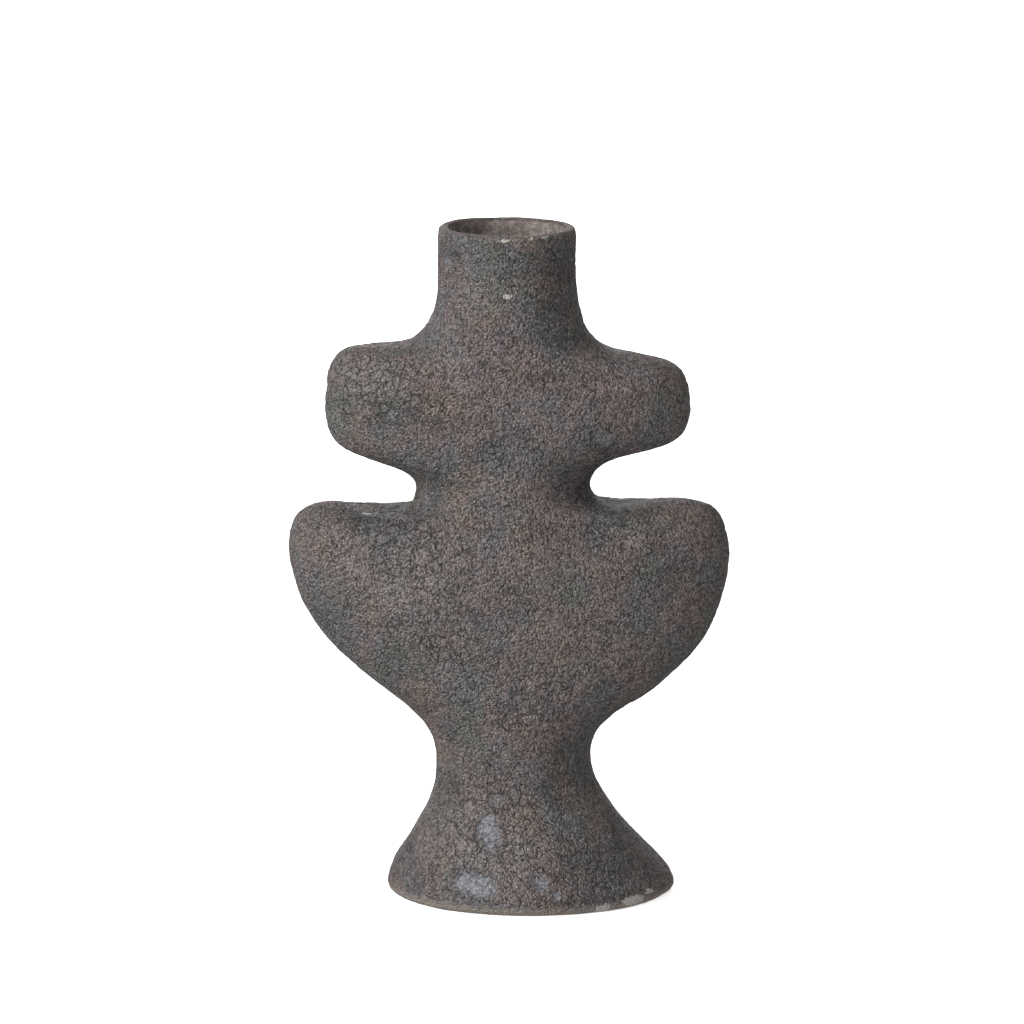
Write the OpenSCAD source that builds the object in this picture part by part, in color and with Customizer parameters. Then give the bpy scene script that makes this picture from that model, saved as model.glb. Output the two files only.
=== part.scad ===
// Sculptural stoneware vase: a flared foot, two pairs of lobes and a round neck.
// It is drawn as the clay sections that a potter forms one by one and lutes together.
// Millimetres, +Z up, +X to the right of the front, -Y towards the front.
// The origin lies on the table, under the middle of the lobes.

/* [Size] */
// Height of the whole vase
vase_h = 300; // [240:5:360]
// Thickness of the clay wall
wall = 5; // [4:0.5:6]
// Extra fullness of the lobed body, front to back
extra_depth = 0; // [-8:1:12]

/* [Mouth and neck] */
// Diameter of the opening for stems
mouth_d = 52; // [48:1:52]
// Outer diameter of the neck
neck_d = 61.5; // [60.5:0.5:63]
// Height of the coil that makes the lip
lip_h = 8; // [6:1:10]

/* [Foot] */
// Height of the ring that the vase stands on
foot_ring_h = 7; // [5:0.5:8]
// How far the base plate sits above the table
base_recess = 2; // [1:0.5:3]
// Width of the foot ring, across its flat underside and rounded edge
foot_ring_w = 6.4; // [5.5:0.1:7]

/* [Joints] */
// Thickness of the soft coils pressed into the joints inside
coil_t = 3; // [2:0.5:4]

/* [Detail] */
// Rows of facets between two stations of the outline
steps = 2; // [1:1:3]
// Facets around half of the body
half_cols = 20; // [12:2:28]

/* [Hidden] */
$fn = 96;

crust = [0.33, 0.31, 0.30];
raw_clay = [0.62, 0.52, 0.42];

drawn_h = 300;          // height that the outline below is drawn at
neck_x = -0.6;          // the neck's axis
neck_root_z = 262;      // where the neck is luted to the shoulder
neck_root_r = 32.8;
neck_straight_z = 278;  // the neck is a plain cylinder above this
bore_start_z = 268;     // the bore is a plain cylinder above this
foot_x = 9.8;           // the foot's axis: the potter set it off centre
foot_r = 64.2;          // the widest circle of the foot
foot_top_r = 63.3;
foot_inner_r = foot_r - foot_ring_w;
foot_edge_r = 3;        // rounding at the table
lip_edge_r = 2.4;
mouth_edge_r = 1.6;
edge_steps = 6;
side_rise = 3;          // how sharply a section rises or falls towards its two sides
coil_edge = 0.4;        // thickness that a pressed coil thins down to
coil_rows = steps;      // rows that a joint coil reaches to each side
coil_cols = 2;          // columns that a seam coil reaches to each side

// One station of the outline: left point, right point, height and half depth at the front.
function station(left, right, front_z, half_depth) =
    [left[0], left[1], right[0], right[1], front_z, half_depth];

// A station where the section is a level circle.
function level(z, left_x, right_x) =
    station([left_x, z], [right_x, z], z, (right_x - left_x) / 2);

outline = [
    // the flared foot
    level(foot_ring_h, foot_x - foot_top_r, foot_x + foot_top_r),
    level(14, -51, 67.5),
    level(22, -45.5, 60),
    level(31, -40.5, 51.5),
    level(40, -35.5, 45),
    level(49, -33, 39.5),
    level(58, -32.5, 37),
    // the lower pair of lobes
    station([-33.5, 67], [37.5, 66], 66.5, 35),
    station([-38, 76], [42, 75], 75.5, 35.5),
    station([-48.5, 87], [53, 85], 85, 36),
    station([-61.5, 97], [66, 93], 94, 36.5),
    station([-74, 107], [78, 103], 103.5, 36.5),
    station([-85, 119], [88, 115], 114.5, 37),
    station([-93, 132.5], [94.5, 129.5], 126, 37),
    station([-97, 146], [98, 144.5], 137.5, 37),
    station([-98.5, 157.5], [98.5, 157], 148, 36.5),
    station([-96, 168], [95.5, 168], 156, 36),
    station([-90, 174], [90, 174.5], 161.5, 35.5),
    station([-79.5, 176], [79, 177], 166, 35),
    station([-67, 173.5], [66.5, 176.5], 169.5, 34.5),
    station([-55.5, 171], [54.5, 175], 173, 34),
    station([-48.5, 171], [45.5, 175], 176, 33.5),
    station([-43, 175], [39.5, 178], 179, 33),
    station([-41, 182], [36.5, 182], 182, 33),
    // the upper pair of lobes
    station([-42.5, 186.5], [37, 187.5], 186.5, 33),
    station([-48, 190.5], [41.5, 193.5], 191, 33),
    station([-57.5, 194], [51, 198], 195.5, 33.5),
    station([-68, 197.5], [62, 200], 200.5, 33.5),
    station([-76, 202], [73, 202.5], 205.5, 34),
    station([-80, 208.5], [79, 208], 211, 34),
    station([-81.5, 217.5], [81.5, 217], 217.5, 34),
    station([-81, 228], [80.5, 227], 224, 34),
    station([-79.5, 237.5], [78, 234], 230, 34),
    station([-74, 244.5], [71.5, 239], 235, 33.5),
    station([-64.5, 246.5], [61.5, 241.5], 240, 33.5),
    station([-54.5, 247], [51.5, 243], 244, 33),
    station([-46.5, 248], [43.5, 245.5], 248, 33),
    station([-40.5, 252], [37.5, 250], 252, 33),
    station([-36.5, 256.5], [34, 255.5], 256.5, 33),
    level(neck_root_z, neck_x - neck_root_r, neck_x + neck_root_r)
];

stem_station = 6;    // joint between the foot and the lower body
waist_station = 23;  // joint between the lower and the upper body
last_station = len(outline) - 1;
stem_row = stem_station * steps;
waist_row = waist_station * steps;
last_row = last_station * steps;

// A smooth curve through the stations, as a Catmull-Rom spline. Rows count in facets.
function spline(a, b, c, d, t) =
    (2 * b + (c - a) * t + (2 * a - 5 * b + 4 * c - d) * t * t
        + (3 * b - a - 3 * c + d) * t * t * t) / 2;

function outline_at(row) =
    let (
        k = max(0, min(last_station - 1, floor(row / steps))),
        t = row / steps - k
    )
    spline(outline[max(0, k - 1)], outline[k], outline[k + 1],
        outline[min(last_station, k + 2)], t);

// The depth that is added to the lobes, none at the joints with the foot and the neck.
function added_depth(row) =
    row <= stem_row ? 0
    : extra_depth / 2 * pow(sin(180 * (row - stem_row) / (last_row - stem_row)), 2);

// A point of the outer skin: angle 0 is the right side, 90 the back, 270 the front.
function skin(row, angle) =
    let (
        s = outline_at(row),
        side_z = cos(angle) < 0 ? s[1] : s[3]
    )
    [
        (s[0] + s[2]) / 2 + cos(angle) * (s[2] - s[0]) / 2,
        sin(angle) * (s[5] + added_depth(row)),
        s[4] + (side_z - s[4]) * pow(abs(cos(angle)), side_rise)
    ];

function is_joint(row) = row == 0 || row == stem_row || row == waist_row || row == last_row;

// The direction into the clay. At a joint it lies level, so that the joint's faces are flat.
function inward(row, angle) =
    let (
        up = skin(row + 0.05, angle) - skin(row - 0.05, angle),
        around = skin(row, angle + 1) - skin(row, angle - 1),
        n = cross(up, around),
        used = is_joint(row) ? [n[0], n[1], 0] : n
    )
    used / norm(used);

function below_skin(row, angle, depth) = skin(row, angle) + depth * inward(row, angle);

// How far a pressed coil stands out of the wall, at a share 0 to 1 of its width.
function coil_bulge(share) = coil_edge + (coil_t - coil_edge) * pow(sin(180 * share), 2);

// A closed patch of clay between two depths under the skin. near and far are lists of rows
// of points, and a ring joins its last column to its first.
module patch(near, far, ring = false) {
    rows = len(near);
    cols = len(near[0]);
    all_points = [for (layer = [near, far], line = layer, p = line) p];
    last_col = ring ? cols - 1 : cols - 2;
    function a(r, c) = r * cols + c % cols;
    function b(r, c) = rows * cols + a(r, c);
    polyhedron(
        points = all_points,
        faces = [
            for (r = [0 : rows - 2], c = [0 : last_col]) each [
                [a(r, c), a(r + 1, c), a(r + 1, c + 1)],
                [a(r, c), a(r + 1, c + 1), a(r, c + 1)],
                [b(r, c), b(r + 1, c + 1), b(r + 1, c)],
                [b(r, c), b(r, c + 1), b(r + 1, c + 1)]
            ],
            for (c = [0 : last_col]) each [
                [a(0, c), a(0, c + 1), b(0, c + 1)],
                [a(0, c), b(0, c + 1), b(0, c)],
                [a(rows - 1, c), b(rows - 1, c + 1), a(rows - 1, c + 1)],
                [a(rows - 1, c), b(rows - 1, c), b(rows - 1, c + 1)]
            ],
            if (!ring) for (r = [0 : rows - 2]) each [
                [b(r, 0), b(r + 1, 0), a(r + 1, 0)],
                [b(r, 0), a(r + 1, 0), a(r, 0)],
                [b(r, cols - 1), a(r + 1, cols - 1), b(r + 1, cols - 1)],
                [b(r, cols - 1), a(r, cols - 1), a(r + 1, cols - 1)]
            ]
        ]
    );
}

// The wall of the body between two rows, over a half turn from start_angle.
module half_wall(first_row, end_row, start_angle) {
    angles = [for (c = [0 : half_cols]) start_angle + 180 * c / half_cols];
    patch(
        [for (r = [first_row : end_row]) [for (v = angles) skin(r, v)]],
        [for (r = [first_row : end_row]) [for (v = angles) below_skin(r, v, wall)]]
    );
}

// The wall all the way around.
module full_wall(first_row, end_row) {
    angles = [for (c = [0 : 2 * half_cols - 1]) 180 * c / half_cols];
    patch(
        [for (r = [first_row : end_row]) [for (v = angles) skin(r, v)]],
        [for (r = [first_row : end_row]) [for (v = angles) below_skin(r, v, wall)]],
        ring = true
    );
}

// A coil pressed flat against the inside of a joint that goes around.
module joint_coil(first_row, end_row) {
    angles = [for (c = [0 : 2 * half_cols - 1]) 180 * c / half_cols];
    patch(
        [for (r = [first_row : end_row]) [for (v = angles) below_skin(r, v, wall)]],
        [for (r = [first_row : end_row])
            let (depth = wall + coil_bulge((r - first_row) / (end_row - first_row)))
            [for (v = angles) below_skin(r, v, depth)]],
        ring = true
    );
}

// A coil pressed along the seam of the two halves, on the side that faces middle_angle.
module seam_coil(first_row, end_row, middle_angle) {
    offsets = [-coil_cols : coil_cols];
    turn = 180 / half_cols;
    patch(
        [for (r = [first_row : end_row])
            [for (c = offsets) below_skin(r, middle_angle + c * turn, wall)]],
        [for (r = [first_row : end_row])
            [for (c = offsets)
                let (depth = wall + coil_bulge((c + coil_cols) / (2 * coil_cols)))
                below_skin(r, middle_angle + c * turn, depth)]]
    );
}

// Points of a rounded corner, from one angle to another about a centre.
function corner(centre, r, from, to) =
    [for (i = [0 : edge_steps])
        let (v = from + (to - from) * i / edge_steps)
        centre + r * [cos(v), sin(v)]];

module sized() {
    scale(vase_h / drawn_h) children();
}

module foot_ring() {
    color(raw_clay) sized() translate([foot_x, 0, 0]) rotate_extrude()
        polygon(concat(
            [[foot_inner_r, 0]],
            corner([foot_r - foot_edge_r, foot_edge_r], foot_edge_r, -90, 0),
            [[foot_top_r, foot_ring_h], [foot_inner_r, foot_ring_h]]
        ));
}

module base_plate() {
    color(raw_clay) sized() translate([foot_x, 0, base_recess])
        cylinder(r = foot_inner_r, h = foot_ring_h - base_recess);
}

module foot_wall() {
    color(crust) sized() full_wall(0, stem_row);
}

module lower_body_front() {
    color(crust) sized() half_wall(stem_row, waist_row, 180);
}

module lower_body_back() {
    color(crust) sized() half_wall(stem_row, waist_row, 0);
}

module upper_body_front() {
    color(crust) sized() half_wall(waist_row, last_row, 180);
}

module upper_body_back() {
    color(crust) sized() half_wall(waist_row, last_row, 0);
}

module neck_tube() {
    root_bore_r = neck_root_r - wall;
    top_z = drawn_h - lip_h;
    color(crust) sized() translate([neck_x, 0, 0]) rotate_extrude()
        polygon([
            [root_bore_r, neck_root_z], [neck_root_r, neck_root_z],
            [31.8, 266], [31.1, 271], [neck_d / 2 + 0.1, 275],
            [neck_d / 2, neck_straight_z], [neck_d / 2, top_z],
            [mouth_d / 2, top_z], [mouth_d / 2, bore_start_z]
        ]);
}

module lip_coil() {
    low_z = drawn_h - lip_h;
    outer_r = neck_d / 2;
    inner_r = mouth_d / 2;
    color(crust) sized() translate([neck_x, 0, 0]) rotate_extrude()
        polygon(concat(
            [[inner_r, low_z], [outer_r, low_z]],
            corner([outer_r - lip_edge_r, drawn_h - lip_edge_r], lip_edge_r, 0, 90),
            corner([inner_r + mouth_edge_r, drawn_h - mouth_edge_r], mouth_edge_r, 90, 180)
        ));
}

module foot_joint_coil() {
    color(raw_clay) sized() joint_coil(0, coil_rows);
}

module stem_joint_coil() {
    color(raw_clay) sized() joint_coil(stem_row - coil_rows, stem_row + coil_rows);
}

module waist_joint_coil() {
    color(raw_clay) sized() joint_coil(waist_row - coil_rows, waist_row + coil_rows);
}

module neck_joint_coil() {
    color(raw_clay) sized() joint_coil(last_row - coil_rows, last_row);
}

module lower_seam_coils() {
    color(raw_clay) sized() for (side = [0, 180])
        seam_coil(stem_row + coil_rows + 1, waist_row - coil_rows - 1, side);
}

module upper_seam_coils() {
    color(raw_clay) sized() for (side = [0, 180])
        seam_coil(waist_row + coil_rows + 1, last_row - coil_rows - 1, side);
}

foot_ring();
base_plate();
foot_wall();
lower_body_front();
lower_body_back();
upper_body_front();
upper_body_back();
neck_tube();
lip_coil();
foot_joint_coil();
stem_joint_coil();
waist_joint_coil();
neck_joint_coil();
lower_seam_coils();
upper_seam_coils();
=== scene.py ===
"""Looks for the stoneware vase: a crusted skin over the clay sections, and a pale studio."""

import math

import bmesh
import bpy
import numpy as np
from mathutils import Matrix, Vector, noise
from mathutils.bvhtree import BVHTree


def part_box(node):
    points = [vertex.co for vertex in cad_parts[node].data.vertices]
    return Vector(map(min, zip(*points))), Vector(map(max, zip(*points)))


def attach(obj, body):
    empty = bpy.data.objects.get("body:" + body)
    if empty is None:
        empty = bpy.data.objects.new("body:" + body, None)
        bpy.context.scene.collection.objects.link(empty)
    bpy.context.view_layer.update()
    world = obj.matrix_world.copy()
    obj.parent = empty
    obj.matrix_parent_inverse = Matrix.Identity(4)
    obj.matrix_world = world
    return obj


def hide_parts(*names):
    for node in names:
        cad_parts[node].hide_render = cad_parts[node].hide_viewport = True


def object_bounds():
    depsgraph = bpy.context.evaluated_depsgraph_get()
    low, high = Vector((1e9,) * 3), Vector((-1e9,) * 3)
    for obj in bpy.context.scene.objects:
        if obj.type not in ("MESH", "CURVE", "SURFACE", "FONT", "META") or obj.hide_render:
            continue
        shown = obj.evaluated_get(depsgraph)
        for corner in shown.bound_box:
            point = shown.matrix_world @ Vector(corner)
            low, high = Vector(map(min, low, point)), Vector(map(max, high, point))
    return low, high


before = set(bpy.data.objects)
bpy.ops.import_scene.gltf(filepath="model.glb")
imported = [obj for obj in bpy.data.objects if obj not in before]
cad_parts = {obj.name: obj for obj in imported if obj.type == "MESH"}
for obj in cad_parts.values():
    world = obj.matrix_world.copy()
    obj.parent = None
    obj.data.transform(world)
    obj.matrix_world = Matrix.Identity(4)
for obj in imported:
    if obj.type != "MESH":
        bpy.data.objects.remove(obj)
cad_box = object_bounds()

MM = 0.001
COARSE = 1.6 * MM  # side of a quad before it is subdivided once
COIL_NODES = (
    "foot_joint_coil",
    "stem_joint_coil",
    "waist_joint_coil",
    "neck_joint_coil",
    "lower_seam_coils",
    "upper_seam_coils",
)

SPOT_EDGE = 1.6  # a soft spot ends at this many times its half width
BEHIND = 0.8  # how strong a spot is on the back, for 1 on the front
# Marks on the front, by the attribute that holds them: blue slate, warm brown, pale dust, dark
# and cracked. The pale marks are dust, and a painted highlight on the lit front of the foot.
# The dark marks are darker slip, and painted shade in the notches between the lobes, under the
# upper right lobe and on the shaded right of the waist, the lower right lobe and the foot. Each
# row is x, z, half width, half height in millimetres, and strength.
PATCHES = {
    "slate": (
        (-9, 35, 5, 8, 1.0),
        (-15, 13, 9, 5, 1.0),
        (15, 14, 6, 5, 0.7),
        (21, 9, 5, 4, 0.6),
        (-5, 47, 5, 7, 0.4),
        (50, 10, 12, 5, 0.4),
        (-4, 208, 9, 4, 0.4),
        (42, 210, 6, 5, 0.5),
        (-52, 220, 7, 5, 0.5),
        (28, 62, 9, 8, 0.4),
        (24, 287, 7, 7, 0.4),
        (-27, 286, 4, 7, 0.5),
        (-52, 108, 6, 6, 0.4),
    ),
    "warm": (
        (4, 155, 12, 9, 1.0),
        (52, 226, 10, 9, 1.0),
        (6, 248, 7, 7, 1.0),
        (25, 236, 14, 12, 0.7),
        (-18, 268, 9, 9, 0.6),
        (-28, 120, 14, 9, 0.7),
        (-32, 28, 9, 8, 0.6),
        (15, 30, 6, 6, 0.8),
        (32, 44, 8, 7, 0.5),
        (2, 68, 9, 9, 0.5),
        (28, 160, 9, 14, 0.5),
        (55, 112, 16, 10, 0.5),
        (-80, 150, 14, 12, 0.4),
    ),
    "dust_and_highlight": (
        (-44, 158, 9, 6, 1.1),
        (-38, 148, 9, 6, 1.0),
        (-66, 150, 18, 12, 0.6),
        (-48, 142, 18, 13, 0.7),
        (-31, 160, 12, 9, 0.7),
        (-2, 190, 18, 8, 0.5),
        (22, 101, 22, 13, 0.4),
        (-28, 103, 16, 10, 0.4),
        (55, 162, 5, 6, 0.8),
        (36, 156, 14, 7, 0.4),
        (5, 186, 10, 6, 0.5),
        (-25, 243, 8, 9, 0.5),
        (-60, 234, 16, 8, 0.8),
        (57, 233, 9, 9, 0.3),
        (-15, 276, 5, 6, 0.5),
        (12, 86, 4, 4, 0.5),
        # painted highlight: the lit front of the foot
        (-14, 28, 14, 20, 1.0),
        (4, 26, 10, 18, 0.7),
        (-38, 22, 6, 8, 0.5),
        (14, 28, 6, 5, 0.4),
        (8, 122, 22, 12, 0.2),
    ),
    # darker slip, and painted shade in the notches between the lobes, under the upper right
    # lobe and on the shaded right of the waist, the lower right lobe and the foot
    "dark": (
        (-62, 172, 30, 5, 0.8),
        # painted shade: the right notch between the lobes
        (30, 185, 11, 10, 0.8),
        # painted shade: under the upper right lobe
        (46, 204, 11, 4, 0.8),
        (-38, 217, 28, 5, 0.6),
        (22, 252, 9, 6, 1.0),
        (22, 237, 15, 9, 0.5),
        (22, 167, 15, 7, 0.6),
        (24, 157, 12, 7, 0.4),
        (-26, 291, 6, 6, 0.8),
        (22, 284, 12, 11, 0.9),
        (19, 267, 11, 10, 0.7),
        (38, 3, 24, 4, 1.0),
        (-44, 14, 10, 8, 0.5),
        # painted shade: the left notch between the lobes
        (-32, 188, 8, 7, 0.6),
        (42, 18, 16, 17, 0.9),
        (-25, 48, 6, 10, 0.6),
        (20, 52, 9, 8, 0.5),
        (-28, 114, 9, 5, 0.4),
        (72, 148, 14, 10, 0.4),
    ),
    "torn": (
        (-56, 232, 22, 14, 1.0),
        (-50, 160, 26, 14, 1.0),
        (-30, 132, 16, 18, 0.6),
        (-6, 34, 26, 22, 0.9),
        (24, 20, 18, 14, 0.7),
        (10, 88, 16, 16, 0.5),
        (-8, 200, 14, 12, 0.5),
        (2, 250, 16, 10, 0.4),
        (48, 170, 18, 12, 0.6),
    ),
}
# Chips that show pale clay: x, y, z, half width, half height in millimetres, and strength.
CHIPS = (
    (-1, -31, 273, 2.0, 1.3, 1.0),
    (-62.7, -13, 172.5, 2.4, 2.6, 1.0),
    (11, -35, 85, 0.8, 1.2, 0.5),
    (-2, -30, 298, 3.4, 0.9, 0.7),
    (10, -28, 298.6, 1.6, 0.9, 0.7),
    (17, -25, 298.8, 2.0, 0.9, 0.7),
    (41, -53, 2.2, 4.5, 2.0, 1.1),
    (56, -44, 3.2, 7.0, 2.2, 1.2),
    (63.5, -35, 5.4, 3.5, 1.3, 1.0),
)
# The lower lobes are a little fuller underneath: x, z, reach and push in millimetres.
FULLER = (
    (58, 90, 26, 1.2),
    (-56, 92, 24, 0.4),
)

GRAIN = 1.0 * MM
BLISTER = 2.3 * MM
CRACK_CELL = 6.0 * MM  # the plates between the cracks
NOISE_STEP = 17.31  # how far apart the noise of two seeds is taken

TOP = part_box("lip_coil")[1][2]
FOOT_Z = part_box("foot_wall")[0][2]
STEM_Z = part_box("lower_body_front")[0][2]
WAIST_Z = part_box("upper_body_front")[0][2]
NECK_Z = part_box("neck_tube")[0][2]
LIP_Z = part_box("lip_coil")[0][2]
# The pieces that the potter luted together: the CAD node, the lower and the upper cut, and the
# side. The side is -1 for a front half, 1 for a back half and 0 for a whole piece.
SECTIONS = (
    ("foot_ring", None, FOOT_Z, 0),
    ("foot_wall", FOOT_Z, STEM_Z, 0),
    ("lower_body_front", STEM_Z, WAIST_Z, -1),
    ("lower_body_back", STEM_Z, WAIST_Z, 1),
    ("upper_body_front", WAIST_Z, NECK_Z, -1),
    ("upper_body_back", WAIST_Z, NECK_Z, 1),
    ("neck_tube", NECK_Z, LIP_Z, 0),
    ("lip_coil", LIP_Z, None, 0),
)


# ---------------------------------------------------------------- mesh tools


def linked(name, mesh):
    """A new object in the scene."""
    obj = bpy.data.objects.new(name, mesh)
    bpy.context.scene.collection.objects.link(obj)
    return obj


def evaluated(obj):
    """A new mesh: obj's, with its modifiers applied."""
    graph = bpy.context.evaluated_depsgraph_get()
    return bpy.data.meshes.new_from_object(obj.evaluated_get(graph), depsgraph=graph)


def joined(name, nodes):
    """One object with a copy of the meshes of these CAD nodes."""
    bm = bmesh.new()
    for node in nodes:
        bm.from_mesh(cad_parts[node].data)
    mesh = bpy.data.meshes.new(name)
    bm.to_mesh(mesh)
    bm.free()
    return linked(name, mesh)


def remeshed(obj, size):
    """Turns obj into one continuous surface of even quads."""
    mod = obj.modifiers.new("even_quads", "REMESH")
    mod.mode = "VOXEL"
    mod.voxel_size = size
    mesh = evaluated(obj)
    obj.modifiers.clear()
    obj.data = mesh


def subdivided(obj):
    """Splits each quad into four, on a smooth surface."""
    obj.modifiers.new("finer", "SUBSURF").levels = 1
    mesh = evaluated(obj)
    obj.modifiers.clear()
    obj.data = mesh


def read(items, prop, width, kind=np.float32):
    """A property of many mesh items, as an array with width columns."""
    values = np.empty(len(items) * width, kind)
    items.foreach_get(prop, values)
    return values.reshape(-1, width)


def positions(mesh):
    """Each point's place."""
    return read(mesh.vertices, "co", 3)


def normals(mesh):
    """Each point's outward direction."""
    return read(mesh.vertex_normals, "vector", 3)


def place(mesh, points):
    """Moves each point to its new place."""
    mesh.vertices.foreach_set("co", points.astype(np.float32).ravel())
    mesh.update()


def faired(mesh, weight, rounds):
    """Smooths away the facets, without shrinking. weight is 0 to 1 for each point."""
    points = positions(mesh).astype(float)
    edges = read(mesh.edges, "vertices", 2, np.int32)
    ends = np.concatenate([edges[:, 0], edges[:, 1]])
    others = np.concatenate([edges[:, 1], edges[:, 0]])
    count = np.bincount(ends, minlength=len(points))[:, None]
    shrink, grow = 0.5, -0.52
    for step in range(2 * rounds):
        total = np.stack(
            [np.bincount(ends, points[others, i], len(points)) for i in range(3)], 1
        )
        share = grow if step % 2 else shrink
        points += share * weight[:, None] * (total / count - points)
    place(mesh, points)


def ramp(values, low, high):
    """0 below low, 1 above high, with a smooth step between."""
    t = np.clip((values - low) / (high - low), 0, 1)
    return t * t * (3 - 2 * t)


# ---------------------------------------------------------------- surface


def lumps(points, size, seed):
    """Soft noise, about -1 to 1, with lumps of that size in metres."""
    shift = NOISE_STEP * seed
    return np.array([noise.noise(p) for p in (points / size + shift).tolist()])


def cells(points, size, seed):
    """For cells of that size: distance to the nearest centre and to the nearest border."""
    shift = NOISE_STEP * seed
    first, second = [], []
    for p in (points / size + shift).tolist():
        near = noise.voronoi(p)[0]
        first.append(near[0])
        second.append(near[1])
    first, second = np.array(first), np.array(second)
    return first, second - first


def in_the_open(mesh):
    """1 for each point that sees the room, 0 for each one that only sees the hollow."""
    tree = BVHTree.FromPolygons(
        [v.co for v in mesh.vertices], [p.vertices for p in mesh.polygons]
    )
    level = [Vector(d) for d in ((0, -1, 0), (0, 1, 0), (-1, 0, 0), (1, 0, 0))]
    seen = np.zeros(len(mesh.vertices))
    for i, (v, n) in enumerate(zip(mesh.vertices, mesh.vertex_normals)):
        start = v.co + n.vector * MM
        ways = sorted(level, key=lambda d: -d.dot(n.vector))
        seen[i] = any(tree.ray_cast(start, d)[0] is None for d in ways)
    return seen


def stored(mesh, name, values):
    """Keeps a number for each point on the mesh, for the materials to read."""
    layer = mesh.attributes.new(name, "FLOAT", "POINT")
    layer.data.foreach_set("value", values.astype(np.float32))


def spots(points, facing, marks):
    """Soft spots, up to their strength in the middle and 0 at their edges. The back has the
    same spots, weaker and turned half a turn."""
    round_the_side = 0.3  # a spot runs on a little way past the outline
    found = np.zeros(len(points))
    for x, z, wide, high, strength in marks:
        for side, share in ((1, 1), (-1, BEHIND)):
            across = (side * points[:, 0] / MM - x) / wide
            along = (points[:, 2] / MM - z) / high
            here = share * strength * (side * facing[:, 1] < round_the_side)
            found = np.maximum(found, here * (1 - np.hypot(across, along) / SPOT_EDGE))
    return found


def chipped(points, chips):
    """Where the crust has flaked off: 1 in the middle of a chip and 0 at its edge."""
    found = np.zeros(len(points))
    for x, y, z, wide, high, strength in chips:
        away = (points / MM - (x, y, z)) / (wide, wide, high)
        found = np.maximum(found, strength * (1 - np.linalg.norm(away, axis=1) / SPOT_EDGE))
    return found


def crust_share(height, smooth, outside):
    """How much crust each point carries: less at the foot's edge, the lip and the slate."""
    bare = 1 - ramp(height, 1.5 * MM, 5 * MM)
    worn = ramp(height, TOP - 5 * MM, TOP - 1 * MM)
    crust = outside * (1 - 0.8 * bare) * (1 - 0.6 * worn)
    return crust * (1 - 0.7 * ramp(smooth, 0.2, 0.7))


def crackled(points, torn):
    """1 in the middle of a crack, and 0 on the plates between: most where torn is high."""
    warp = np.stack([lumps(points, 9 * MM, s) for s in (1, 2, 3)], 1) * 1.6 * MM
    _, border = cells(points + warp, CRACK_CELL, 4)
    cracked = ramp(lumps(points, 18 * MM, 5) + torn, 0.0, 0.5)
    return (1 - ramp(border, 0.02, 0.2)) * cracked


def fuller(points):
    """How far the undersides of the lower lobes move out, in millimetres."""
    push = np.zeros(len(points))
    for x, z, reach, out in FULLER:
        away = np.hypot(points[:, 0] / MM - x, points[:, 2] / MM - z)
        push += out * (1 - ramp(away, 0, reach))
    return push


def crusted(mesh, outside):
    """Pushes the skin in and out: hand-made lumps, blisters, cracks and grains of slip."""
    points, facing = positions(mesh), normals(mesh)
    height = points[:, 2]
    marks = {name: spots(points, facing, patches) for name, patches in PATCHES.items()}
    crust = crust_share(height, marks["slate"], outside)
    from_blister, _ = cells(points, BLISTER, 6)
    halfway = 0.6  # about the mean of from_blister

    push = 0.55 * lumps(points, 34 * MM, 7)  # in millimetres, as are the next ones
    push += 0.26 * lumps(points, 12 * MM, 8)
    push += crust * 0.18 * lumps(points, 4.5 * MM, 9)
    push += crust * 0.20 * (halfway - from_blister)
    push -= crust * 0.34 * crackled(points, marks["torn"])
    push += outside * fuller(points)
    moved = points + facing * (push * MM)[:, None]
    moved[:, 2] = np.maximum(moved[:, 2], 0)
    moved[height < 0.2 * MM, 2] = 0  # what stands on the table stays flat
    place(mesh, moved)

    stored(mesh, "outside", outside)
    stored(mesh, "chip", outside * chipped(points, CHIPS))
    for name, values in marks.items():
        stored(mesh, name, values)


def whole_skin():
    """The vase as one continuous surface, before it is cut into its sections."""
    skin = joined("skin", [node for node, *_ in SECTIONS])
    remeshed(skin, COARSE)
    mesh = skin.data
    height = positions(mesh)[:, 2]
    above_foot = ramp(height, FOOT_Z + 2 * MM, FOOT_Z + 9 * MM)
    below_neck = 1 - ramp(height, NECK_Z, NECK_Z + 8 * MM)
    faired(mesh, above_foot * below_neck, 14)
    faired(mesh, np.ones(len(height)), 1)
    stored(mesh, "outside", in_the_open(mesh))
    subdivided(skin)
    mesh = skin.data
    outside = read(mesh.attributes["outside"].data, "value", 1)[:, 0]
    mesh.attributes.remove(mesh.attributes["outside"])
    crusted(mesh, outside)
    return skin


# ---------------------------------------------------------------- sections


def cut_off(bm, point, direction):
    """Removes what lies beyond a plane, and closes the cut. Gives the faces that close it."""
    cut = bmesh.ops.bisect_plane(
        bm,
        geom=bm.verts[:] + bm.edges[:] + bm.faces[:],
        plane_co=point,
        plane_no=direction,
        clear_outer=True,
    )["geom_cut"]
    edges = [g for g in cut if isinstance(g, bmesh.types.BMEdge)]
    filled = bmesh.ops.triangle_fill(bm, edges=edges, use_beauty=True, normal=direction)
    return [g for g in filled["geom"] if isinstance(g, bmesh.types.BMFace)]


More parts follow.
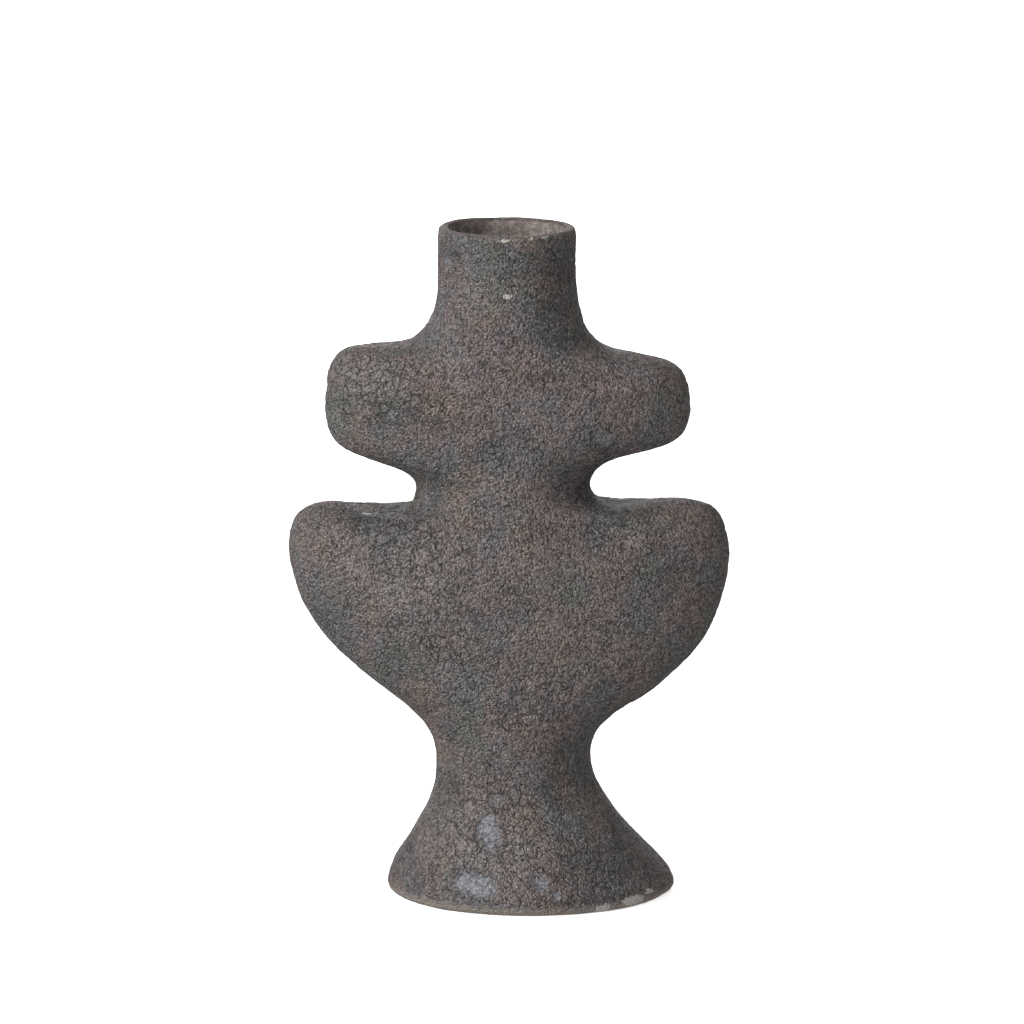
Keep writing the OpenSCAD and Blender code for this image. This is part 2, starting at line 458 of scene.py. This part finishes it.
def section_mesh(skin, name, low, high, side):
    """The part of the skin between two heights, and on one side of the front-to-back middle."""
    bm = bmesh.new()
    bm.from_mesh(skin)
    normal = bm.verts.layers.float_vector.new("skin_normal")
    for v in bm.verts:
        v[normal] = v.normal
    caps = []
    if low is not None:
        caps += cut_off(bm, Vector((0, 0, low)), Vector((0, 0, -1)))
    if high is not None:
        caps += cut_off(bm, Vector((0, 0, high)), Vector((0, 0, 1)))
    if side:
        caps += cut_off(bm, Vector((0, 0, 0)), Vector((0, -side, 0)))
    flat = bm.faces.layers.int.new("cap")
    for f in bm.faces:
        f.smooth = True
    for f in caps:
        if f.is_valid:
            f[flat] = 1
            f.smooth = False
    mesh = bpy.data.meshes.new(name)
    bm.to_mesh(mesh)
    bm.free()
    return mesh


def keep_skin_normals(mesh):
    """Shades each section as the whole skin was shaded, so that no seam shows."""
    skin = read(mesh.attributes["skin_normal"].data, "vector", 3)
    loops = read(mesh.loops, "vertex_index", 1, np.int32)[:, 0]
    wanted = skin[loops]
    cap = read(mesh.attributes["cap"].data, "value", 1, np.int32)[:, 0]
    sizes = read(mesh.polygons, "loop_total", 1, np.int32)[:, 0]
    flat = read(mesh.polygons, "normal", 3)
    on_cap = np.repeat(cap, sizes) == 1
    wanted[on_cap] = np.repeat(flat, sizes, axis=0)[on_cap]
    wanted /= np.maximum(np.linalg.norm(wanted, axis=1), 1e-9)[:, None]
    mesh.normals_split_custom_set(wanted.tolist())
    mesh.attributes.remove(mesh.attributes["skin_normal"])
    mesh.attributes.remove(mesh.attributes["cap"])


def sections(skin):
    """Cuts the skin into its sections, and puts each one in the place of its CAD node."""
    pieces = []
    for node, low, high, side in SECTIONS:
        name = node + "_skin"
        piece = linked(name, section_mesh(skin.data, name, low, high, side))
        keep_skin_normals(piece.data)
        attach(piece, "root")
        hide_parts(node)
        pieces.append(piece)
    bpy.data.objects.remove(skin)
    return pieces


def turned_plate(name, node, step):
    """A round plate as large as a CAD node, with fine rings of faces on its underside. Gives
    the plate, its centre and its radius."""
    low, high = (Vector(c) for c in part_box(node))
    radius = (high.x - low.x) / 2
    rings = round(radius / step)
    profile = [(radius * i / rings, low.z) for i in range(rings + 1)]
    profile += [(radius, high.z), (0, high.z)]
    centre = (low + high) / 2
    bm = bmesh.new()
    verts = [bm.verts.new((centre.x + r, centre.y, z)) for r, z in profile]
    edges = [bm.edges.new(pair) for pair in zip(verts, verts[1:])]
    bmesh.ops.spin(
        bm,
        geom=verts + edges,
        cent=centre,
        axis=(0, 0, 1),
        angle=math.tau,
        steps=4 * rings,
        use_merge=True,
    )
    bmesh.ops.remove_doubles(bm, verts=bm.verts, dist=0.001 * MM)
    bmesh.ops.recalc_face_normals(bm, faces=bm.faces)
    mesh = bpy.data.meshes.new(name)
    bm.to_mesh(mesh)
    bm.free()
    return linked(name, mesh), centre, radius


def worked_base(clay):
    """The base plate: pressed by hand, with the shallow arcs that a cutting wire leaves."""
    plate, centre, radius = turned_plate("base_plate_skin", "base_plate", COARSE / 2)
    mesh = plate.data
    points, facing = positions(mesh), normals(mesh)
    from_centre = np.hypot(points[:, 0] - centre.x, points[:, 1] - centre.y)
    inside = 1 - ramp(from_centre, radius - 3 * MM, radius)
    under = inside * (facing[:, 2] < 0)
    hand = Vector((-90, -40)) * MM  # the hand that holds the cutting wire
    from_hand = np.hypot(points[:, 0] - hand.x, points[:, 1] - hand.y)
    arcs = np.sin(from_hand / (0.8 * MM) + 2 * lumps(points, 20 * MM, 11))
    push = 0.3 * lumps(points, 25 * MM, 12)
    push += 0.1 * lumps(points, 5 * MM, 13)
    push += 0.12 * arcs
    place(mesh, points + facing * (under * push * MM)[:, None])
    mesh.shade_smooth()
    mesh.set_sharp_from_angle(angle=math.radians(40))
    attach(plate, "root")
    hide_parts("base_plate")
    mesh.materials.append(clay)


# ---------------------------------------------------------------- materials


def grey(value):
    """A colour with the same red, green and blue."""
    return (value, value, value, 1)


SLATE_GREY = (0.110, 0.1085, 0.107, 1)
RED_BROWN = (0.149, 0.117, 0.112, 1)
OLIVE_TINT = (1.015, 1.0, 0.925, 1)
VIOLET_TINT = (1.0, 0.995, 1.05, 1)
WARM_SLIP = (0.170, 0.131, 0.123, 1)
# pale dust, and also a painted highlight on the lit front of the foot
DUST_AND_PAINTED_HIGHLIGHT = (0.205, 0.180, 0.172, 1)
# darker slip, and also painted shade in the notches between the lobes and on the shaded right
DARK_SLIP_AND_PAINTED_SHADE = (0.056, 0.0535, 0.053, 1)
SLATE_GLAZE = (0.130, 0.139, 0.160, 1)
GLINT = (0.32, 0.285, 0.27, 1)
SHADOW = grey(0.016)
WORN_LIP = (0.150, 0.120, 0.108, 1)
DARK_STAIN = (0.140, 0.114, 0.102, 1)
PALE_STAIN = (0.250, 0.219, 0.201, 1)
BARE_EDGE = (0.27, 0.23, 0.20, 1)
CHIPPED_CLAY = (0.50, 0.465, 0.43, 1)
PALE_CLAY = (0.30, 0.25, 0.20, 1)
TAN_CLAY = (0.23, 0.185, 0.155, 1)
GROG = (0.12, 0.10, 0.09, 1)


class Nodes:
    """Short calls for building a material's node tree."""

    def __init__(self, name):
        self.material = bpy.data.materials.new(name)
        self.material.use_nodes = True
        self.tree = self.material.node_tree
        self.shader = self.tree.nodes["Principled BSDF"]
        self.place = self.add("TexCoord").outputs["Object"]

    def add(self, kind, **settings):
        """A new node, with its settings."""
        node = self.tree.nodes.new("ShaderNode" + kind)
        for key, value in settings.items():
            setattr(node, key, value)
        return node

    def link(self, value, socket):
        """Puts a number, a colour or another node's output into a socket."""
        if isinstance(value, bpy.types.NodeSocket):
            self.tree.links.new(value, socket)
        else:
            socket.default_value = value

    def noise(self, size, detail=3, roughness=0.55, at=None):
        """Soft noise 0 to 1, with features of about that size in metres."""
        node = self.add("TexNoise")
        self.link(at or self.place, node.inputs["Vector"])
        node.inputs["Scale"].default_value = 1 / size
        node.inputs["Detail"].default_value = detail
        node.inputs["Roughness"].default_value = roughness
        return node.outputs["Fac"]

    def cells(self, size, feature="F1", at=None, output="Distance"):
        """Cells of about that size in metres."""
        node = self.add("TexVoronoi", feature=feature)
        self.link(at or self.place, node.inputs["Vector"])
        node.inputs["Scale"].default_value = 1 / size
        return node.outputs[output]

    def math(self, kind, a, b):
        """One step of arithmetic."""
        node = self.add("Math", operation=kind)
        self.link(a, node.inputs[0])
        self.link(b, node.inputs[1])
        return node.outputs[0]

    def ramp(self, value, low, high, to_low=0.0, to_high=1.0):
        """to_low where the value is low, to_high where it is high, and smooth between."""
        node = self.add("MapRange", interpolation_type="SMOOTHSTEP")
        for socket, v in zip(node.inputs, (value, low, high, to_low, to_high)):
            self.link(v, socket)
        return node.outputs[0]

    def mix(self, share, a, b, blend="MIX"):
        """Colour a, with share 0 to 1 of colour b over it."""
        node = self.add("Mix", data_type="RGBA", blend_type=blend)
        self.link(share, node.inputs["Factor"])
        self.link(a, node.inputs["A"])
        self.link(b, node.inputs["B"])
        return node.outputs["Result"]

    def attribute(self, name):
        """A number that stored() kept on the mesh."""
        return self.add("Attribute", attribute_name=name).outputs["Fac"]

    def height(self):
        """The height above the table, in metres."""
        return self.link_new("SeparateXYZ", self.place).outputs["Z"]

    def link_new(self, kind, value):
        """A new node that works on this value."""
        node = self.add(kind)
        self.link(value, node.inputs[0])
        return node

    def moved(self):
        """Places shifted far away, for a second noise that doesn't follow the first."""
        node = self.add("VectorMath", operation="ADD")
        self.link(self.place, node.inputs[0])
        node.inputs[1].default_value = (3.1, 1.7, 2.3)
        return node.outputs[0]

    def warped(self, size, amount):
        """Places that are pushed about by noise, so that borders wander."""
        node = self.add("TexNoise")
        self.link(self.place, node.inputs["Vector"])
        node.inputs["Scale"].default_value = 1 / size
        centred = self.add("VectorMath", operation="SUBTRACT")
        self.link(node.outputs["Color"], centred.inputs[0])
        centred.inputs[1].default_value = (0.5, 0.5, 0.5)
        pushed = self.add("VectorMath", operation="MULTIPLY_ADD")
        self.link(centred.outputs[0], pushed.inputs[0])
        pushed.inputs[1].default_value = (amount, amount, amount)
        self.link(self.place, pushed.inputs[2])
        return pushed.outputs[0]

    def bump(self, height, strength, distance):
        """The normal of a relief: at a height of 1 it stands out by that distance."""
        node = self.add("Bump")
        node.inputs["Strength"].default_value = strength
        node.inputs["Distance"].default_value = distance
        self.link(height, node.inputs["Height"])
        return node.outputs["Normal"]


class Slip(Nodes):
    """The patterns that several layers of the crust share."""

    def __init__(self, name):
        super().__init__(name)
        self.gap = self.cells(GRAIN)
        self.grains = self.cells(GRAIN, output="Color")
        self.fine = self.noise(0.72 * MM, 2, 0.5)
        self.specks = self.noise(1.3 * MM, 3, 0.7)
        self.ragged = self.math("SUBTRACT", self.specks, 0.5)
        drift = self.math("SUBTRACT", self.noise(7 * MM, 4, 0.6), 0.5)
        self.drift = self.math("MULTIPLY", drift, 1.1)
        self.slates = self.marked("slate", 0.25, 0.6)
        self.even = self.math("SUBTRACT", 1.0, self.math("MULTIPLY", self.slates, 0.25))
        self.hollow = self.math("SUBTRACT", 1.0, self.attribute("outside"))
        self.crack = self.cracks()

    def marked(self, name, low=0.0, high=0.8):
        """Where a stored spot is, with ragged borders."""
        soft = self.math("ADD", self.attribute(name), self.math("MULTIPLY", self.ragged, 0.5))
        return self.ramp(self.math("ADD", soft, self.drift), low, high)

    def cracks(self):
        """Cracks between plates of slip: 1 in the middle of one."""
        wander = self.warped(5 * MM, 3 * MM)
        edges = self.cells(CRACK_CELL, "DISTANCE_TO_EDGE", at=wander)
        torn = self.math("MULTIPLY", self.attribute("torn"), 0.3)
        broken = self.math("ADD", self.noise(10 * MM, 4, 0.65), torn)
        inside = self.ramp(edges, 0.0, 0.08, 1.0, 0.0)
        return self.math("MULTIPLY", inside, self.ramp(broken, 0.52, 0.66))

    def coated(self, colour, where, share, coat):
        """That share of a coat over the colour, where the first number is 1."""
        return self.mix(self.math("MULTIPLY", where, share), colour, coat)


def slip_colour(n):
    """The fired slip: grey and brown clouds, with the photo's larger patches. Among them are a
    painted highlight on the foot's front, and painted shade in the notches between the lobes,
    under the upper right lobe and on the shaded right.
    """
    clouds = n.ramp(n.noise(24 * MM, 5, 0.62), 0.41, 0.59)
    colour = n.mix(clouds, SLATE_GREY, RED_BROWN)
    tint = n.ramp(n.noise(21 * MM, 5, 0.62, at=n.moved()), 0.40, 0.60)
    colour = n.mix(1.0, colour, n.mix(tint, OLIVE_TINT, VIOLET_TINT), "MULTIPLY")
    colour = n.coated(colour, n.marked("warm"), 0.6, WARM_SLIP)
    # pale dust, and a painted highlight on the lit front of the foot
    colour = n.coated(colour, n.marked("dust_and_highlight"), 0.65, DUST_AND_PAINTED_HIGHLIGHT)
    # darker slip, and painted shade in the notches between the lobes and on the shaded right
    colour = n.coated(colour, n.marked("dark"), 0.6, DARK_SLIP_AND_PAINTED_SHADE)
    colour = n.coated(colour, n.slates, 0.75, SLATE_GLAZE)
    rim = n.math("MULTIPLY", n.marked("slate", 0.0, 0.25), n.math("SUBTRACT", 1.0, n.slates))
    return n.coated(colour, rim, 0.3, grey(0.03))


def slip_grain(n, colour):
    """Light and dark grains, glints, pits and cracks over the slip's colour: the glints are
    painted highlights, and the gaps between grains, the pits and the cracks carry painted
    shade.
    """
    apart = n.link_new("SeparateColor", n.grains)
    tone = n.ramp(apart.outputs[0], 0.0, 1.0, -0.42, 0.42)
    # darker towards each grain's border, where the relief is lowest: painted shade in the gaps
    # between the grains
    tone = n.math("ADD", tone, n.ramp(n.gap, 0.3, 0.9, 0.15, -0.35))
    tone = n.math("ADD", tone, n.ramp(n.fine, 0.25, 0.75, -0.38, 0.44))
    tone = n.math("ADD", n.math("MULTIPLY", tone, n.even), 1.0)
    colour = n.mix(1.0, colour, tone, "MULTIPLY")
    glint = n.math("MULTIPLY", n.ramp(apart.outputs[1], 0.88, 0.96), n.ramp(n.gap, 0.6, 0.35))
    colour = n.coated(colour, glint, 0.75, GLINT)
    clustered = n.math("MULTIPLY", n.math("SUBTRACT", n.noise(5 * MM, 3, 0.6), 0.5), 0.5)
    pit = n.ramp(n.math("ADD", n.specks, clustered), 0.41, 0.31, 0, 0.75)
    colour = n.coated(colour, pit, n.even, SHADOW)
    return n.coated(colour, n.crack, 0.55, SHADOW)


def worn_places(n, colour):
    """The worn lip, the stained hollow, the bare edge of the foot and the chips."""
    worn = n.math("ADD", n.height(), n.math("MULTIPLY", n.ragged, 5 * MM))
    lip = n.ramp(worn, TOP - 1.6 * MM, TOP - 0.4 * MM)
    colour = n.coated(colour, lip, 0.6, WORN_LIP)
    inner = n.mix(n.ramp(n.noise(3 * MM, 4, 0.7), 0.38, 0.62), DARK_STAIN, PALE_STAIN)
    inner = n.mix(1.0, inner, n.ramp(n.fine, 0.2, 0.8, 0.75, 1.2), "MULTIPLY")
    colour = n.mix(n.hollow, colour, inner)
    edge = n.math("ADD", n.height(), n.math("MULTIPLY", n.ragged, 3 * MM))
    colour = n.mix(n.ramp(edge, 5.5 * MM, 1.0 * MM), colour, BARE_EDGE)
    flaked = n.math("ADD", n.attribute("chip"), n.math("MULTIPLY", n.ragged, 1.8))
    return n.mix(n.ramp(flaked, 0.33, 0.5), colour, CHIPPED_CLAY)


def slip_relief(n):
    """The normal of the crust's finest grains and cracks, calmer on slate and in the hollow."""
    relief = n.math("ADD", n.ramp(n.gap, 0.0, 0.9, 1.0, 0.0), n.math("MULTIPLY", n.specks, 2.0))
    relief = n.math("ADD", relief, n.math("MULTIPLY", n.fine, 0.5))
    relief = n.math("SUBTRACT", relief, n.math("MULTIPLY", n.crack, 0.8))
    smooth = n.math("MULTIPLY", n.math("MAXIMUM", n.slates, n.hollow), 0.75)
    relief = n.math("MULTIPLY", relief, n.math("SUBTRACT", 1.0, smooth))
    return n.bump(relief, 1.0, 0.9 * MM)


def crust_material():
    """Dark slip that dried, cracked and fired to a rough granular skin."""
    n = Slip("slip_crust")
    colour = worn_places(n, slip_grain(n, slip_colour(n)))
    n.link(colour, n.shader.inputs["Base Color"])
    rough = n.ramp(n.fine, 0.3, 0.7, 0.62, 0.9)
    rough = n.math("SUBTRACT", rough, n.math("MULTIPLY", n.slates, 0.15))
    n.link(rough, n.shader.inputs["Roughness"])
    n.link(slip_relief(n), n.shader.inputs["Normal"])
    n.shader.inputs["Specular IOR Level"].default_value = 0.4
    return n.material


def clay_material():
    """Bare fired stoneware: pale tan, with fine grog."""
    n = Nodes("bare_stoneware")
    patches = n.noise(14 * MM, 3, 0.6)
    grog = n.cells(1.1 * MM)
    colour = n.mix(n.ramp(patches, 0.4, 0.65), PALE_CLAY, TAN_CLAY)
    colour = n.mix(n.ramp(grog, 0.1, 0.3, 0.5, 0.0), colour, GROG)
    n.link(colour, n.shader.inputs["Base Color"])
    n.link(n.ramp(patches, 0.3, 0.7, 0.75, 0.92), n.shader.inputs["Roughness"])
    n.link(n.bump(n.noise(0.9 * MM, 3), 0.5, 0.2 * MM), n.shader.inputs["Normal"])
    return n.material


# ---------------------------------------------------------------- studio

LIGHT_SIDE = 0.9
LIGHT_DISTANCE = 2.2
# Name, azimuth and elevation in degrees, and power in watts.
LIGHTS = (
    ("key", -60, 35, 43),
    ("front_fill", -30, 10, 25),
    ("back_fill", 180, 8, 26),
)


def studio_floor():
    """A wide pale floor."""
    bm = bmesh.new()
    bmesh.ops.create_circle(bm, cap_ends=True, segments=64, radius=9.0)
    mesh = bpy.data.meshes.new("studio_floor")
    bm.to_mesh(mesh)
    bm.free()
    floor = linked("studio_floor", mesh)
    n = Nodes("white_paper")
    n.shader.inputs["Base Color"].default_value = grey(0.85)
    n.shader.inputs["Roughness"].default_value = 0.9
    n.shader.inputs["Emission Color"].default_value = grey(1)
    n.shader.inputs["Emission Strength"].default_value = 0.65
    mesh.materials.append(n.material)
    floor.visible_diffuse = floor.visible_glossy = floor.visible_shadow = False


def softbox(name, target, azimuth, elevation, power):
    """A square soft light. Azimuth 0 is in front of the vase, and 90 is on its right."""
    data = bpy.data.lights.new(name, "AREA")
    data.shape = "SQUARE"
    data.size = LIGHT_SIDE
    data.energy = power
    around, up = math.radians(azimuth), math.radians(elevation)
    away = Vector(
        (math.sin(around) * math.cos(up), -math.cos(around) * math.cos(up), math.sin(up))
    )
    obj = linked(name, data)
    obj.location = target + LIGHT_DISTANCE * away
    obj.rotation_euler = (-away).to_track_quat("-Z", "Y").to_euler()


def white_surround(above, below):
    """Even light from all around, with its own strength from above and from the floor."""
    world = bpy.data.worlds.new("white_surround")
    world.use_nodes = True
    tree = world.node_tree
    way = tree.nodes.new("ShaderNodeTexCoord").outputs["Generated"]
    split = tree.nodes.new("ShaderNodeSeparateXYZ")
    tree.links.new(way, split.inputs[0])
    blend = tree.nodes.new("ShaderNodeMapRange")
    soft = 0.1  # how far from level the two strengths blend
    horizon = {"From Min": -soft, "From Max": soft, "To Min": below, "To Max": above}
    for name, value in horizon.items():
        blend.inputs[name].default_value = value
    tree.links.new(split.outputs["Z"], blend.inputs["Value"])
    tree.links.new(blend.outputs[0], tree.nodes["Background"].inputs["Strength"])
    tree.nodes["Background"].inputs["Color"].default_value = grey(1)
    bpy.context.scene.world = world


def camera(middle):
    """A long lens, a little above the vase, as in the photograph."""
    data = bpy.data.cameras.new("camera")
    obj = linked("camera", data)
    distance, elevation = 5.0, math.radians(10.4)
    to_right, above = 1.6 * MM, 20.9 * MM  # the vase stands a little low in the photograph
    aim = Vector((to_right, 0, middle.z + above))
    away = Vector((0, -math.cos(elevation), math.sin(elevation)))
    obj.location = aim + distance * away
    obj.rotation_euler = (-away).to_track_quat("-Z", "Y").to_euler()
    photo_width = 456.7 * MM  # what the photograph's width spans at the vase
    data.sensor_width = 36
    data.lens = data.sensor_width * distance / photo_width
    data.clip_end = 50
    bpy.context.scene.camera = obj


# ---------------------------------------------------------------- the scene

crust, clay = crust_material(), clay_material()
for piece in sections(whole_skin()):
    piece.data.materials.append(crust)
worked_base(clay)
for node in COIL_NODES:
    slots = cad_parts[node].data.materials
    slots.clear()
    slots.append(clay)

bpy.context.scene.view_settings.view_transform = "Standard"
middle = (Vector(cad_box[0]) + Vector(cad_box[1])) / 2
white_surround(above=0.50, below=0.56)
for name, azimuth, elevation, power in LIGHTS:
    softbox(name, middle, azimuth, elevation, power)
studio_floor()
camera(middle)
